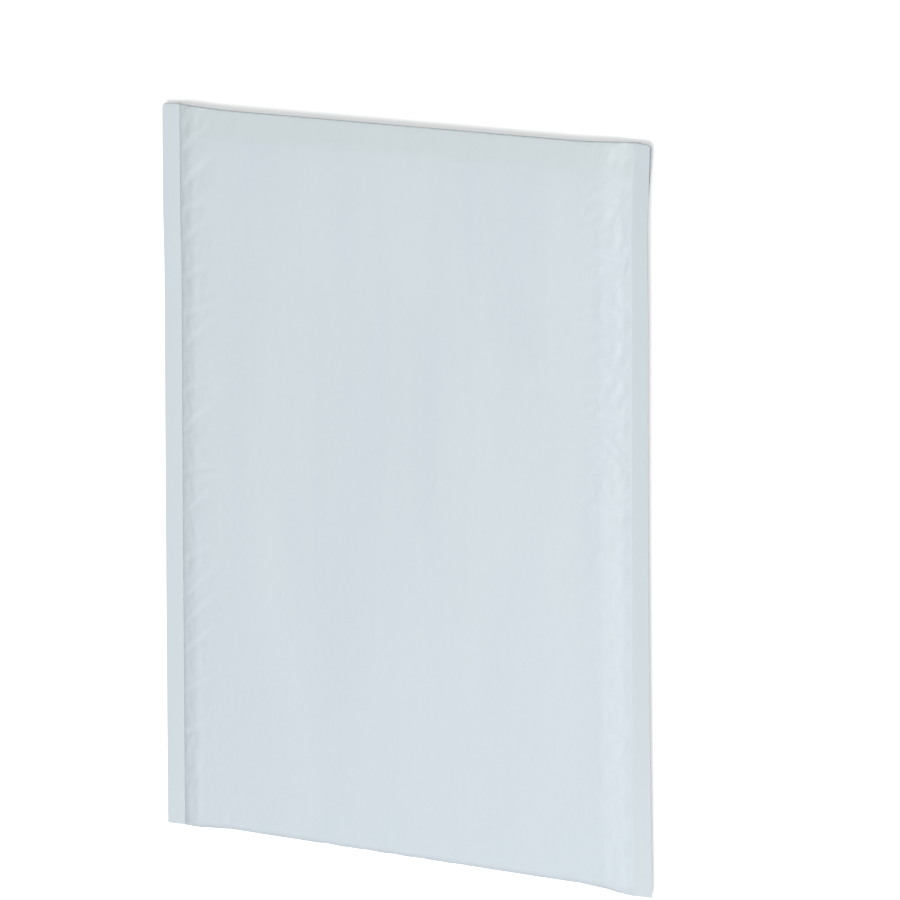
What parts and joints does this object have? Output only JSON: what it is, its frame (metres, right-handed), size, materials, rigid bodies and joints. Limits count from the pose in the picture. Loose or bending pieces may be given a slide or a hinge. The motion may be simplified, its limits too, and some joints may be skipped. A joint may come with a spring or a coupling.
{
  "type": "padded envelope",
  "caption": "Flat padded mailing envelope of pale plastic film with an air-bubble lining, side heat seals, a folded bottom and a peel-and-seal flap folded behind it.",
  "frame": {"origin": "on the surface that the envelope lies on, under the middle of its bounding box", "axes": "+X across the envelope, +Y towards its mouth and top fold, +Z out of its front panel"},
  "size_m": [0.287, 0.385, 0.0112],
  "materials": {
    "outer_film": "satin",
    "bubble_lining": "clear bubble film",
    "adhesive_strip": "tacky hot-melt adhesive",
    "release_liner": "silicone-coated paper"
  },
  "bodies": {
    "root": {"outer_film": "outer_film", "bubble_lining": "bubble_lining", "adhesive_strip": "adhesive_strip", "release_liner": "release_liner"}
  },
  "joints": []
}
